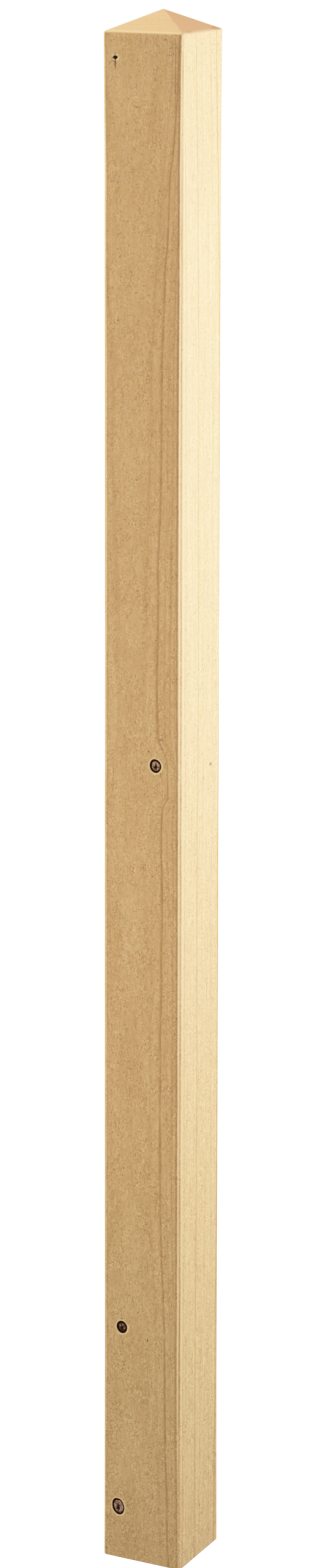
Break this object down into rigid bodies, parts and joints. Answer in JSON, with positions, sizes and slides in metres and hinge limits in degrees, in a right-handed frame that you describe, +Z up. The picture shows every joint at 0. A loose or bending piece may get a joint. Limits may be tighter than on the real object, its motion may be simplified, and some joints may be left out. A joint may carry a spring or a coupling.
{
  "type": "pointed wooden post",
  "caption": "Square planed softwood post with a narrow chamfer along each corner, a shallow pyramid-shaped top and a flat sawn foot to stand on.",
  "frame": {"origin": "centre of the sawn foot, on the ground", "axes": "+Z up along the post to its tip, -Y out of the front face, +X out of the right-hand face"},
  "size_m": [0.1, 0.1, 1.8],
  "materials": {
    "softwood": "planed and unfinished, matt"
  },
  "bodies": {
    "root": {"post": "softwood"}
  },
  "joints": []
}
